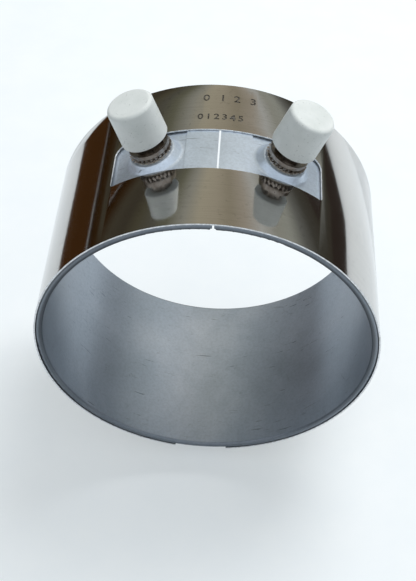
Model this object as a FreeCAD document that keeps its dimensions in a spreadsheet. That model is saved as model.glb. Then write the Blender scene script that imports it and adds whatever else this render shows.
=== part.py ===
import FreeCAD, Part
import math
import os
import Sketcher

# Mica band heater with a stainless clamp strap, two ceramic-capped terminals and a
# screw clamp. The band's axis is +Y, its origin is the centre of the bore, the terminals
# stand at the top (+Z) and the screw clamp closes the strap at the bottom (-Z).
# Angles round the band are measured from +Z towards +X.

# Two places this close, in millimetres, count as one when edges are picked.
SAME_PLACE = 0.01
SAME_ROUND = 0.1

Vector = FreeCAD.Vector
Rotation = FreeCAD.Rotation
Placement = FreeCAD.Placement

doc = FreeCAD.newDocument("band_heater")
sheet = doc.addObject("Spreadsheet::Sheet", "Dims")

# Millimetres and degrees, apart from the counts.
DRIVING = [
    # the band
    ("bore_radius", 64.5, "inside radius of the closed band"),
    ("band_width", 80.0, "width along the axis"),
    ("sheath_sheet", 0.5, "inner sheath, sheet thickness"),
    ("mica_sheet", 0.3, "insulating mica, sheet thickness"),
    ("core_sheet", 0.25, "mica former under the resistance ribbon"),
    ("ribbon_sheet", 0.12, "resistance ribbon, thickness"),
    ("plate_sheet", 0.45, "back plate, sheet thickness"),
    ("strap_sheet", 0.6, "clamp strap, sheet thickness"),
    ("layer_gap", 0.05, "clearance from layer to layer"),
    ("strap_gap", 0.08, "clearance from sheath to strap"),
    ("rim_bend", 1.1, "outside radius of the sheath's folded rims"),
    ("lip_length", 4.0, "folded lip over the back plate, from the rim"),
    ("slit_width", 0.7, "open slit of the band at the top"),
    ("hem_length", 12.2, "sheath end folded back over the plate, from the slit"),
    ("notch_width", 4.0, "V notch of the rims at the slit"),
    ("notch_depth", 1.3, "V notch, depth into the rim"),
    # the ribbon
    ("ribbon_width", 4.5, "resistance ribbon, width"),
    ("ribbon_inset", 6.0, "rim to the end of a ribbon run"),
    ("ribbon_pairs", 14, "pairs of runs"),
    ("lead_radius", 1.8, "lead from the ribbon up to a stud"),
    # the clamp strap
    ("window_width", 22.3, "window, size along the axis"),
    ("window_centre", 0.9, "window centre, along the axis"),
    ("window_half_angle", 35.9, "window, half its angle round the band"),
    ("window_round_back", 5.0, "window corner radius at the back edge"),
    ("window_round_front", 1.4, "window corner radius at the front edge"),
    ("strap_mouth", 22.0, "opening between the strap's ends"),
    # the terminals
    ("terminal_angle", 21.2, "terminal from the top of the band"),
    ("terminal_shift", 0.75, "terminal centre, along the axis"),
    ("boss_base_radius", 10.3, "embossed boss, radius at its foot"),
    ("boss_top_radius", 8.6, "embossed boss, radius at its top"),
    ("boss_height", 2.4, "embossed boss, height over the plate"),
    ("boss_foot_round", 1.6, "fillet round the boss's foot"),
    ("boss_top_round", 0.9, "fillet round the boss's top"),
    ("stud_radius", 3.0, "terminal stud"),
    ("stud_head_radius", 5.5, "stud head"),
    ("stud_head_height", 1.4, "stud head"),
    ("stud_end_gap", 1.5, "stud tip to the end of the cap's hole"),
    ("tip_chamfer", 0.5, "chamfer of the stud and screw tips"),
    ("thread_gap", 0.05, "radial clearance of a threaded fit"),
    ("washer_gap", 0.15, "radial clearance of a washer on its stud"),
    ("seat_gap", 0.03, "clearance between stacked flat faces"),
    ("bush_wall", 0.9, "insulating bush, sleeve wall"),
    ("bush_gap", 0.1, "bush sleeve in the boss's hole"),
    ("bush_flange_radius", 6.5, "insulating bush, flange"),
    ("bush_flange_height", 0.7, "insulating bush, flange"),
    ("mica_washer_radius", 7.3, "mica washer on the boss"),
    ("mica_washer_height", 0.6, "mica washer on the boss"),
    ("tooth_root_radius", 7.2, "toothed lock washer, ring"),
    ("tooth_tip_radius", 8.3, "toothed lock washer, tips"),
    ("tooth_ring_height", 0.8, "toothed lock washer, sheet thickness"),
    ("tooth_width", 1.1, "toothed lock washer, one tooth"),
    ("tooth_twist", 28.0, "toothed lock washer, twist of a tooth"),
    ("tooth_hold", 0.5, "toothed lock washer, tooth held in the ring"),
    ("tooth_count", 24, "teeth"),
    ("cup_radius", 7.8, "cup washer, outside"),
    ("cup_height", 2.0, "cup washer, rim height"),
    ("cup_sheet", 0.5, "cup washer, sheet thickness"),
    ("nut_flats", 10.0, "terminal nut, across flats"),
    ("nut_height", 5.0, "terminal nut"),
    ("cap_radius", 9.05, "ceramic cap, at its foot"),
    ("cap_top_radius", 8.85, "ceramic cap, at its top"),
    ("cap_height", 15.9, "ceramic cap"),
    ("cap_round", 1.5, "ceramic cap, top edge"),
    ("cap_foot_round", 0.4, "ceramic cap, foot edge"),
    ("cap_hole_depth", 12.5, "ceramic cap, blind hole"),
    ("insert_wall", 1.5, "threaded insert, wall"),
    ("insert_inset", 1.0, "cap foot to the insert"),
    ("insert_length", 10.0, "threaded insert"),
    ("insert_gap", 0.05, "insert in the cap's hole"),
    # the screw clamp
    ("barrel_radius", 4.0, "barrel nut"),
    ("barrel_gap", 0.1, "barrel nut in its loop"),
    ("loop_sheet", 0.8, "clamp loop, sheet thickness"),
    ("loop_width", 14.0, "clamp loop, along the axis"),
    ("loop_tail", 14.0, "clamp loop, welded tail past the eye"),
    ("loop_second_tail", 7.0, "clamp loop, folded-back end past the eye"),
    ("screw_spacing", 41.0, "from screw to screw, along the axis"),
    ("screw_radius", 2.5, "clamp screw"),
    ("screw_reach", 3.5, "clamp screw past the far loop"),
    ("screw_head_radius", 4.2, "clamp screw head"),
    ("screw_head_height", 3.3, "clamp screw head"),
    ("screw_head_round", 1.2, "clamp screw head, edge"),
    ("screw_slot_width", 1.3, "driver slot"),
    ("screw_slot_depth", 1.5, "driver slot"),
    ("plain_hole_gap", 0.25, "clamp screw in the plain barrel"),
    ("eye_slot_gap", 0.7, "clamp screw in the slots of the loops, along the axis"),
    ("eye_slot_side_gap", 0.3, "clamp screw in the slots of the loops, across"),
    ("clamp_washer_radius", 4.4, "washer under the screw head"),
    ("clamp_washer_height", 0.9, "washer under the screw head"),
    ("overrun", 1.0, "cutters past the faces they leave by"),
]

# Sizes that follow from the driving ones, as formulas of the sheet.
FOLLOWING = [
    ("half_width", "=band_width / 2"),
    ("web_top", "=bore_radius + sheath_sheet"),
    ("inner_mica_foot", "=web_top + layer_gap"),
    ("inner_mica_top", "=inner_mica_foot + mica_sheet"),
    ("core_foot", "=inner_mica_top + layer_gap"),
    ("core_top", "=core_foot + core_sheet"),
    ("ribbon_foot", "=core_top + layer_gap"),
    ("ribbon_top", "=ribbon_foot + ribbon_sheet"),
    ("outer_mica_foot", "=ribbon_top + layer_gap"),
    ("outer_mica_top", "=outer_mica_foot + mica_sheet"),
    ("plate_foot", "=outer_mica_top + layer_gap"),
    ("plate_top", "=plate_foot + plate_sheet"),
    ("lip_foot", "=plate_top + layer_gap"),
    ("lip_top", "=lip_foot + sheath_sheet"),
    ("strap_foot", "=lip_top + strap_gap"),
    ("strap_top", "=strap_foot + strap_sheet"),
    ("lip_edge", "=half_width - lip_length"),
    ("pack_edge", "=half_width - sheath_sheet - layer_gap"),
    ("slit_half_angle", "=slit_width / 2 / bore_radius * 180 / pi"),
    ("wall_angle", "=sheath_sheet / bore_radius * 180 / pi"),
    ("hem_angle", "=hem_length / lip_top * 180 / pi"),
    ("pack_end_angle", "=slit_half_angle + wall_angle + 2 * layer_gap / bore_radius * 180 / pi"),
    ("pitch_angle", "=(360 - 2 * terminal_angle) / (2 * ribbon_pairs - 1)"),
    ("run_angle", "=ribbon_width / ribbon_top * 180 / pi"),
    ("run_edge", "=half_width - ribbon_inset"),
    ("mouth_half_angle", "=asin(strap_mouth / 2 / strap_top) / 1 deg"),
    # heights along a terminal's axis, from the band's axis
    ("boss_top", "=plate_top + boss_height"),
    ("boss_under", "=boss_top - plate_sheet"),
    ("boss_root", "=plate_foot - boss_height"),
    ("boss_slope", "=(boss_base_radius - boss_top_radius) / boss_height"),
    ("boss_root_radius", "=boss_base_radius + (plate_top - boss_root) * boss_slope"),
    ("bush_flange_foot", "=boss_under - seat_gap - bush_flange_height"),
    ("stud_head_top", "=bush_flange_foot - seat_gap"),
    ("stud_head_foot", "=stud_head_top - stud_head_height"),
    ("bush_bore", "=stud_radius + washer_gap"),
    ("bush_radius", "=bush_bore + bush_wall"),
    ("mica_washer_foot", "=boss_top + seat_gap"),
    ("mica_washer_top", "=mica_washer_foot + mica_washer_height"),
    ("tooth_rise", "=tooth_width / 2 * sin(tooth_twist * 1 deg)"),
    ("tooth_foot", "=mica_washer_top + seat_gap + tooth_rise"),
    ("tooth_top", "=tooth_foot + tooth_ring_height"),
    ("cup_foot", "=tooth_top + seat_gap + tooth_rise"),
    ("cup_floor", "=cup_foot + cup_sheet"),
    ("nut_foot", "=cup_floor + seat_gap"),
    ("nut_top", "=nut_foot + nut_height"),
    ("cap_foot", "=nut_top + seat_gap"),
    ("cap_top", "=cap_foot + cap_height"),
    ("cap_hole_end", "=cap_foot + cap_hole_depth"),
    ("stud_top", "=cap_hole_end - stud_end_gap"),
    ("threaded_bore", "=stud_radius + thread_gap"),
    ("insert_radius", "=threaded_bore + insert_wall"),
    ("cap_hole_radius", "=insert_radius + insert_gap"),
    ("insert_foot", "=cap_foot + insert_inset"),
    # the screw clamp
    ("eye_radius", "=barrel_radius + barrel_gap"),
    ("loop_radius", "=eye_radius + loop_sheet"),
    ("loop_foot", "=strap_top + layer_gap"),
    ("eye_reach", "=loop_foot + loop_radius"),
    ("eye_side", "=strap_mouth / 2 + loop_radius"),
    ("eye_depth", "=sqrt(eye_reach ^ 2 - eye_side ^ 2)"),
    ("eye_angle", "=asin(eye_side / eye_reach) / 1 deg"),
    ("tail_angle", "=eye_angle + loop_tail / loop_foot * 180 / pi"),
    ("second_tail_angle", "=eye_angle + loop_second_tail / loop_foot * 180 / pi"),
    ("screw_row", "=screw_spacing / 2"),
    ("washer_side", "=eye_side + loop_radius + seat_gap"),
    ("head_side", "=washer_side + clamp_washer_height + seat_gap"),
    ("screw_length", "=head_side + eye_side + loop_radius + screw_reach"),
]


def fill_sheet():
    """Writes the driving numbers and the formulas, one row each, with their aliases."""
    row = 1
    for alias, number, note in DRIVING:
        sheet.set(f"A{row}", alias)
        sheet.set(f"B{row}", str(number))
        sheet.set(f"C{row}", note)
        sheet.setAlias(f"B{row}", alias)
        row += 1
    for alias, formula in FOLLOWING:
        sheet.set(f"A{row}", alias)
        sheet.set(f"B{row}", formula)
        sheet.setAlias(f"B{row}", alias)
        row += 1
    doc.recompute()


def size(expression):
    """The present value of an expression of the sheet's sizes."""
    return float(sheet.evalExpression(str(expression)))


def bind(thing, **expressions):
    """Binds properties to expressions; Base_x stands for Placement.Base.x and so on."""
    for name, expression in expressions.items():
        path = name.replace("Base_", "Placement.Base.").replace("Turn", "Placement.Rotation.Angle")
        thing.setExpression(path, str(expression))


def new_body(label, turn=None, shift=None):
    """A body; turn swings it round the band's axis and shift moves it along that axis."""
    body = doc.addObject("PartDesign::Body", label)
    body.Label = label
    if turn is not None:
        body.Placement = Placement(Vector(0, 0, 0), Rotation(Vector(0, 1, 0), size(turn)))
        bind(body, Turn=turn)
    if shift is not None:
        bind(body, Base_y=shift)
    return body


def origin_plane(body, role):
    """One of the body's own origin features, such as XZ_Plane or Y_Axis."""
    return [feature for feature in body.Origin.OriginFeatures if feature.Role == role][0]


def outline(body, role, name, corners, turn=None):
    """A closed sketch of straight sides on an origin plane.

    Each corner is (across, up) or (across, up, radius), all of them expressions of the
    sheet; turn tips the sketch about its own first axis.
    """
    sketch = body.newObject("Sketcher::SketchObject", name)
    sketch.AttachmentSupport = [(origin_plane(body, role), "")]
    sketch.MapMode = "FlatFace"
    if turn is not None:
        sketch.AttachmentOffset = Placement(Vector(0, 0, 0), Rotation(Vector(1, 0, 0), size(turn)))
        sketch.setExpression("AttachmentOffset.Rotation.Angle", turn)
    points = [Vector(size(corner[0]), size(corner[1]), 0) for corner in corners]
    count = len(points)
    for i in range(count):
        sketch.addGeometry(Part.LineSegment(points[i], points[(i + 1) % count]), False)
    for i in range(count):
        sketch.addConstraint(Sketcher.Constraint("Coincident", i, 2, (i + 1) % count, 1))
    for i, corner in enumerate(corners):
        for kind, number, expression in (
            ("DistanceX", points[i].x, corner[0]),
            ("DistanceY", points[i].y, corner[1]),
        ):
            index = sketch.addConstraint(Sketcher.Constraint(kind, -1, 1, i, 1, number))
            sketch.setExpression(f"Constraints[{index}]", str(expression))
    for i, corner in enumerate(corners):
        if len(corner) == 3:
            round_corner(sketch, points, i, corner[2])
    return sketch


def round_corner(sketch, points, i, radius):
    """Rounds the sketch's corner between side i - 1 and side i, keeping the corner's place."""
    before = (i - 1) % len(points)
    middle_before = (points[before] + points[i]) * 0.5
    middle_after = (points[i] + points[(i + 1) % len(points)]) * 0.5
    arc = sketch.GeometryCount
    sketch.fillet(before, i, middle_before, middle_after, size(radius), True, True)
    index = sketch.addConstraint(Sketcher.Constraint("Radius", arc, size(radius)))
    sketch.setExpression(f"Constraints[{index}]", str(radius))


def turned(body, kind, name, sketch, axis, angle=None):
    """A revolution or groove of a sketch, full or through an angle to both sides of it."""
    feature = body.newObject(f"PartDesign::{kind}", name)
    feature.Profile = sketch
    feature.ReferenceAxis = (sketch, [axis])
    if angle is None:
        feature.Angle = 360
    else:
        feature.Midplane = True
        feature.Angle = size(angle)
        feature.setExpression("Angle", angle)
    sketch.Visibility = False
    return feature


def primitive(body, kind, name, turn=None, **expressions):
    """A PartDesign primitive; turn is (axis, angle), and the rest are bound properties."""
    feature = body.newObject(f"PartDesign::{kind}", name)
    if turn is not None:
        feature.Placement = Placement(Vector(0, 0, 0), Rotation(turn[0], size(turn[1])))
        bind(feature, Turn=turn[1])
    bind(feature, **expressions)
    return feature


def around(body, name, corners, angle, turn=None, kind="Revolution"):
    """Sweeps a section given as (along the axis, radius) round the band's axis."""
    sketch = outline(body, "YZ_Plane", name + "_section", corners, turn)
    return turned(body, kind, name, sketch, "H_Axis", angle)


def spun(body, name, corners, kind="Revolution"):
    """Turns a section given as (radius, height) round the body's own Z axis."""
    sketch = outline(body, "XZ_Plane", name + "_section", corners)
    return turned(body, kind, name, sketch, "V_Axis")


def strip(edge, foot, top):
    """The section of a plain sheet of the band, from one edge to the other."""
    return [(f"-{edge}", foot), (edge, foot), (edge, top), (f"-{edge}", top)]


def edges_of(shape, wanted):
    """Names of the shape's edges that the test picks."""
    return [f"Edge{i + 1}" for i, edge in enumerate(shape.Edges) if wanted(edge)]


def fillet(body, name, base, radius, wanted):
    """Rounds the edges of the base feature that the test picks."""
    doc.recompute()
    feature = body.newObject("PartDesign::Fillet", name)
    feature.Base = (base, edges_of(base.Shape, wanted))
    feature.Radius = size(radius)
    feature.setExpression("Radius", radius)
    return feature


Y_UP = (Vector(1, 0, 0), "-90")
X_UP = (Vector(0, 1, 0), "90")
FULL_TURN_LESS = "360 - 2 * Dims."


def make_inner_sheath():
    """The folded tray of the band: web, rims, lips, closed ends and end hems."""
    body = new_body("inner_sheath")
    inner = "(Dims.half_width - Dims.sheath_sheet)"
    channel = [
        ("-Dims.lip_edge", "-Dims.lip_top"),
        ("-Dims.half_width", "-Dims.lip_top", "Dims.rim_bend"),
        ("-Dims.half_width", "-Dims.bore_radius", "Dims.rim_bend"),
        ("Dims.half_width", "-Dims.bore_radius", "Dims.rim_bend"),
        ("Dims.half_width", "-Dims.lip_top", "Dims.rim_bend"),
        ("Dims.lip_edge", "-Dims.lip_top"),
        ("Dims.lip_edge", "-Dims.lip_foot"),
        (inner, "-Dims.lip_foot"),
        (inner, "-Dims.web_top"),
        ("-" + inner, "-Dims.web_top"),
        ("-" + inner, "-Dims.lip_foot"),
        ("-Dims.lip_edge", "-Dims.lip_foot"),
    ]
    around(body, "channel", channel, FULL_TURN_LESS + "slit_half_angle")
    for side, sign in (("left", "-1"), ("right", "1")):
        hem = f"{sign} * (Dims.slit_half_angle + Dims.hem_angle / 2)"
        flat = strip("(Dims.half_width - Dims.rim_bend)", "Dims.lip_foot", "Dims.lip_top")
        around(body, f"{side}_hem", flat, "Dims.hem_angle", hem)
        wall = f"{sign} * (Dims.slit_half_angle + Dims.wall_angle / 2)"
        closed = strip("Dims.half_width", "Dims.bore_radius", "Dims.lip_top")
        closed = [(across, up, "Dims.rim_bend") for across, up in closed]
        around(body, f"{side}_end_wall", closed, "Dims.wall_angle", wall)
    for face, sign in (("front", 1), ("back", -1)):
        cut_rim_notch(body, face, sign)
    return body


def cut_rim_notch(body, face, sign):
    """A V notch across the slit in one rim, wide at the bore and closed at the strap."""
    sketch = outline(
        body,
        "XZ_Plane",
        f"{face}_notch_section",
        [
            ("-Dims.notch_width / 2", "Dims.bore_radius - Dims.overrun"),
            ("Dims.notch_width / 2", "Dims.bore_radius - Dims.overrun"),
            ("0", "Dims.lip_top"),
        ],
    )
    sketch.setExpression("AttachmentOffset.Base.z", f"{sign} * (Dims.half_width - Dims.notch_depth)")
    notch = body.newObject("PartDesign::Pocket", f"{face}_notch")
    notch.Profile = sketch
    notch.Type = "ThroughAll"
    notch.Reversed = sign > 0


def make_sheet(label, edge, foot, top):
    """A plain layer inside the sheath, open at the top where the band's slit is."""
    body = new_body(label)
    below = strip(edge, f"-{foot}", f"-{top}")
    around(body, "sheet", below, FULL_TURN_LESS + "pack_end_angle")
    return body


def make_outer_mica():
    """The mica between ribbon and back plate, with a hole for each stud's lead."""
    body = make_sheet("outer_mica", "Dims.pack_edge", "Dims.outer_mica_foot", "Dims.outer_mica_top")
    for side, sign in (("left", "-1"), ("right", "1")):
        primitive(
            body,
            "SubtractiveCylinder",
            f"{side}_lead_hole",
            turn=(Vector(0, 1, 0), f"{sign} * Dims.terminal_angle"),
            Radius="Dims.lead_radius + Dims.bush_gap",
            Height="Dims.plate_top",
            Base_y="Dims.terminal_shift",
        )
    return body


def pattern(body, name, features, angle, count):
    """Repeats features round the band's axis over an angle."""
    polar = body.newObject("PartDesign::PolarPattern", name)
    polar.Originals = features
    polar.Axis = (origin_plane(body, "Y_Axis"), [""])
    polar.Angle = size(angle)
    polar.setExpression("Angle", angle)
    polar.Occurrences = int(size(count))
    polar.setExpression("Occurrences", count)
    body.Tip = polar
    return polar


def make_ribbon():
    """The resistance ribbon: runs across the band joined end to end, from stud to stud."""
    body = new_body("resistance_ribbon")
    run = strip("Dims.run_edge", "Dims.ribbon_foot", "Dims.ribbon_top")
    bridge_span = "Dims.pitch_angle + Dims.run_angle"
    first = "Dims.terminal_angle"
    cross_run = around(body, "run", run, "Dims.run_angle", first)
    pattern(body, "runs", [cross_run], "360 - 2 * Dims.terminal_angle", "2 * Dims.ribbon_pairs")
    for face, sign, steps, fewer in (("back", "1", 0.5, 1), ("front", "-1", 1.5, 2)):
        inner = f"{sign} * (Dims.run_edge - Dims.ribbon_width)"
        outer = f"{sign} * Dims.run_edge"
        section = [
            (inner, "Dims.ribbon_foot"),
            (outer, "Dims.ribbon_foot"),
            (outer, "Dims.ribbon_top"),
            (inner, "Dims.ribbon_top"),
        ]
        start = f"Dims.terminal_angle + {steps} * Dims.pitch_angle"
        bridge = around(body, f"{face}_bridge", section, bridge_span, start)
        span = f"(2 * Dims.ribbon_pairs - 2 * {fewer}) * Dims.pitch_angle"
        pattern(body, f"{face}_bridges", [bridge], span, f"Dims.ribbon_pairs - {fewer - 1}")
    for side, sign in (("left", "-1"), ("right", "1")):
        lead = primitive(
            body,
            "AdditiveCylinder",
            f"{side}_lead",
            turn=(Vector(0, 1, 0), f"{sign} * Dims.terminal_angle"),
            Radius="Dims.lead_radius",
            Height="Dims.stud_head_foot - Dims.seat_gap - Dims.ribbon_foot - 0.5 * Dims.ribbon_sheet",
            Base_y="Dims.terminal_shift",
        )
        height = "(Dims.ribbon_foot + 0.5 * Dims.ribbon_sheet)"
        bind(lead, Base_x=f"{height} * sin({sign} * Dims.terminal_angle * 1 deg)")
        bind(lead, Base_z=f"{height} * cos(Dims.terminal_angle * 1 deg)")
    return body


def make_back_plate():
    """The plate round the outside of the pack, embossed with a hollow boss per terminal."""
    body = make_sheet("back_plate", "Dims.pack_edge", "Dims.plate_foot", "Dims.plate_top")
    sides = (("left", "-1"), ("right", "1"))
    for side, sign in sides:
        place_cone(body, "AdditiveCone", f"{side}_boss", sign, "0", "Dims.boss_top")
    primitive(
        body,
        "SubtractiveCylinder",
        "underside",
        turn=Y_UP,
        Radius="Dims.plate_foot",
        Height="2 * Dims.band_width",
        Base_y="-Dims.band_width",
    )
    for side, sign in sides:
        place_cone(body, "SubtractiveCone", f"{side}_hollow", sign, "Dims.plate_sheet", "Dims.boss_under")
    for side, sign in sides:
        last = primitive(
            body,
            "SubtractiveCylinder",
            f"{side}_bush_hole",
            turn=(Vector(0, 1, 0), f"{sign} * Dims.terminal_angle"),
            Radius="Dims.bush_radius + Dims.bush_gap",
            Height="Dims.boss_top + Dims.overrun",
            Base_y="Dims.terminal_shift",
        )
    last = fillet(body, "boss_tops", last, "Dims.boss_top_round", is_boss_top)
    fillet(body, "boss_feet", last, "Dims.boss_foot_round", is_boss_foot)
    return body


def place_cone(body, kind, name, sign, inset, top):
    """A cone on a terminal's axis, with the boss's slope, inset from its outer face."""
    reach = f"({top} - Dims.boss_root)"
    side = f"sin({sign} * Dims.terminal_angle * 1 deg)"
    primitive(
        body,
        kind,
        name,
        turn=(Vector(0, 1, 0), f"{sign} * Dims.terminal_angle"),
        Radius1=f"Dims.boss_root_radius - {inset}",
        Radius2=f"Dims.boss_root_radius - {inset} - {reach} * Dims.boss_slope",
        Height=reach,
        Base_x=f"Dims.boss_root * {side}",
        Base_y="Dims.terminal_shift",
        Base_z="Dims.boss_root * cos(Dims.terminal_angle * 1 deg)",
    )


def boss_heights(edge):
    """Heights of points of the edge along the nearer terminal's axis, and their offsets."""
    heights = []
    offsets = []
    for point in edge.discretize(7):
        angle = math.radians(size("Dims.terminal_angle")) * (1 if point.x > 0 else -1)
        axis = Vector(math.sin(angle), 0, math.cos(angle))
        local = point - Vector(0, size("Dims.terminal_shift"), 0)
        heights.append(local.dot(axis))
        offsets.append((local - axis * local.dot(axis)).Length)
    return heights, offsets


def is_boss_top(edge):
    heights, offsets = boss_heights(edge)
    high = min(heights) > size("Dims.boss_top") - SAME_PLACE
    return high and abs(max(offsets) - size("Dims.boss_top_radius")) < SAME_ROUND


def is_boss_foot(edge):
    heights, offsets = boss_heights(edge)
    radii = [math.hypot(point.x, point.z) for point in edge.discretize(7)]
    on_top = max(abs(radius - size("Dims.plate_top")) for radius in radii) < SAME_PLACE
    near = max(offsets) < size("Dims.boss_base_radius + Dims.boss_height")
    return on_top and near and min(offsets) > size("Dims.boss_top_radius")


def make_strap():
    """The stainless clamp strap, open at the bottom, with the terminal window on top."""
    body = new_body("clamp_strap")
    section = strip("Dims.half_width", "Dims.strap_foot", "Dims.strap_top")
    around(body, "band", section, FULL_TURN_LESS + "mouth_half_angle")
    front = "(Dims.window_centre - Dims.window_width / 2)"
    back = "(Dims.window_centre + Dims.window_width / 2)"
    cut = [
        (front, "Dims.strap_foot - Dims.overrun"),
        (back, "Dims.strap_foot - Dims.overrun"),
        (back, "Dims.strap_top + Dims.overrun"),
        (front, "Dims.strap_top + Dims.overrun"),
    ]
    window = around(body, "window", cut, "2 * Dims.window_half_angle", kind="Groove")
    rounded = fillet(body, "back_corners", window, "Dims.window_round_back", is_corner_at(back))
    fillet(body, "front_corners", rounded, "Dims.window_round_front", is_corner_at(front))
    return body


def is_corner_at(place):
    """A test for the radial edges of the window at one place along the axis."""
    wanted_y = size(place)

    def test(edge):
        ends = [vertex.Point for vertex in edge.Vertexes]
        if len(ends) != 2 or ends[0].z < 0:
            return False
        on_line = all(abs(end.y - wanted_y) < SAME_PLACE for end in ends)
        return on_line and abs(edge.Length - size("Dims.strap_sheet")) < SAME_PLACE

    return test


def ring_section(bore, radius, foot, top):
    """The section of a flat ring."""
    return [(bore, foot), (radius, foot), (radius, top), (bore, top)]


def make_terminal(side, sign):
    """The pieces stacked on one terminal, from the stud's head up to the ceramic cap."""
    turn = f"{sign} * Dims.terminal_angle"
    shift = "Dims.terminal_shift"

    stud = new_body(f"terminal_stud_{side}", turn, shift)
    spun(
        stud,
        "shank_and_head",
        [
            ("0", "Dims.stud_head_foot"),
            ("Dims.stud_head_radius", "Dims.stud_head_foot"),
            ("Dims.stud_head_radius", "Dims.stud_head_top"),
            ("Dims.stud_radius", "Dims.stud_head_top"),
            ("Dims.stud_radius", "Dims.stud_top - Dims.tip_chamfer"),
            ("Dims.stud_radius - Dims.tip_chamfer", "Dims.stud_top"),
            ("0", "Dims.stud_top"),
        ],
    )

    bush = new_body(f"stud_bush_{side}", turn, shift)
    spun(
        bush,
        "flange_and_sleeve",
        [
            ("Dims.bush_bore", "Dims.bush_flange_foot"),
            ("Dims.bush_flange_radius", "Dims.bush_flange_foot"),
            ("Dims.bush_flange_radius", "Dims.bush_flange_foot + Dims.bush_flange_height"),
            ("Dims.bush_radius", "Dims.bush_flange_foot + Dims.bush_flange_height"),
            ("Dims.bush_radius", "Dims.boss_top"),
            ("Dims.bush_bore", "Dims.boss_top"),
        ],
    )

    mica = new_body(f"mica_washer_{side}", turn, shift)
    section = ring_section(
        "Dims.bush_bore", "Dims.mica_washer_radius", "Dims.mica_washer_foot", "Dims.mica_washer_top"
    )
    spun(mica, "ring", section)

    make_tooth_washer(side, turn, shift)

    cup = new_body(f"cup_washer_{side}", turn, shift)
    spun(
        cup,
        "floor_and_rim",
        [
            ("Dims.bush_bore", "Dims.cup_foot"),
            ("Dims.cup_radius", "Dims.cup_foot", "1.2 * Dims.cup_sheet"),
            ("Dims.cup_radius", "Dims.cup_foot + Dims.cup_height"),
            ("Dims.cup_radius - Dims.cup_sheet", "Dims.cup_foot + Dims.cup_height"),
            ("Dims.cup_radius - Dims.cup_sheet", "Dims.cup_floor"),
            ("Dims.bush_bore", "Dims.cup_floor"),
        ],
    )

    make_terminal_nut(side, turn, shift)

    insert = new_body(f"cap_insert_{side}", turn, shift)
    section = ring_section(
        "Dims.threaded_bore",
        "Dims.insert_radius",
        "Dims.insert_foot",
        "Dims.insert_foot + Dims.insert_length",
    )
    spun(insert, "sleeve", section)

    cap = new_body(f"ceramic_cap_{side}", turn, shift)
    spun(
        cap,
        "shell",
        [
            ("Dims.cap_hole_radius", "Dims.cap_foot"),
            ("Dims.cap_radius", "Dims.cap_foot", "Dims.cap_foot_round"),
            ("Dims.cap_top_radius", "Dims.cap_top", "Dims.cap_round"),
            ("0", "Dims.cap_top"),
            ("0", "Dims.cap_hole_end"),
            ("Dims.cap_hole_radius", "Dims.cap_hole_end"),
        ],
    )


def make_tooth_washer(side, turn, shift):
    """An external-tooth lock washer with twisted teeth."""
    body = new_body(f"tooth_washer_{side}", turn, shift)
    ring = ring_section("Dims.bush_bore", "Dims.tooth_root_radius", "Dims.tooth_foot", "Dims.tooth_top")
    spun(body, "ring", ring)
    lean = "Dims.tooth_twist * 1 deg"
    height = f"(Dims.tooth_ring_height * cos({lean}))"
    across = f"(Dims.tooth_width * cos({lean}) - {height} * sin({lean})) / 2"
    rise = f"(Dims.tooth_width * sin({lean}) + {height} * cos({lean})) / 2"
    tooth = primitive(
        body,
        "AdditiveBox",
        "tooth",
        turn=(Vector(1, 0, 0), "Dims.tooth_twist"),
        Length="Dims.tooth_tip_radius - Dims.tooth_root_radius + Dims.tooth_hold",
        Width="Dims.tooth_width",
        Height=height,
        Base_x="Dims.tooth_root_radius - Dims.tooth_hold",
        Base_y=f"-{across}",
        Base_z=f"(Dims.tooth_foot + Dims.tooth_top) / 2 - {rise}",
    )
    polar = body.newObject("PartDesign::PolarPattern", "teeth")
    polar.Originals = [tooth]
    polar.Axis = (origin_plane(body, "Z_Axis"), [""])
    polar.Angle = 360
    polar.Occurrences = int(size("Dims.tooth_count"))
    polar.setExpression("Occurrences", "Dims.tooth_count")
    body.Tip = polar
    return body


def make_terminal_nut(side, turn, shift):
    """A hexagon nut with both faces chamfered."""
    body = new_body(f"terminal_nut_{side}", turn, shift)
    primitive(
        body,
        "AdditivePrism",
        "hexagon",
        Circumradius="Dims.nut_flats / sqrt(3)",
        Height="Dims.nut_height",
        Base_z="Dims.nut_foot",
    )
    primitive(
        body,
        "SubtractiveCylinder",
        "bore",
        Radius="Dims.threaded_bore",
        Height="Dims.nut_height + 2 * Dims.overrun",
        Base_z="Dims.nut_foot - Dims.overrun",
    )
    corner = "Dims.nut_flats / sqrt(3)"
    fall = "(Dims.nut_flats / sqrt(3) - Dims.nut_flats / 2)"
    for face, level, inward in (("foot", "Dims.nut_foot", "+"), ("top", "Dims.nut_top", "-")):
        triangle = [
            ("Dims.nut_flats / 2", level),
            (f"{corner} + Dims.overrun", level),
            (f"{corner} + Dims.overrun", f"{level} {inward} ({fall} + Dims.overrun) * tan(30 deg)"),
        ]
        spun(body, f"{face}_chamfer", triangle, kind="Groove")
    return body


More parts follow.
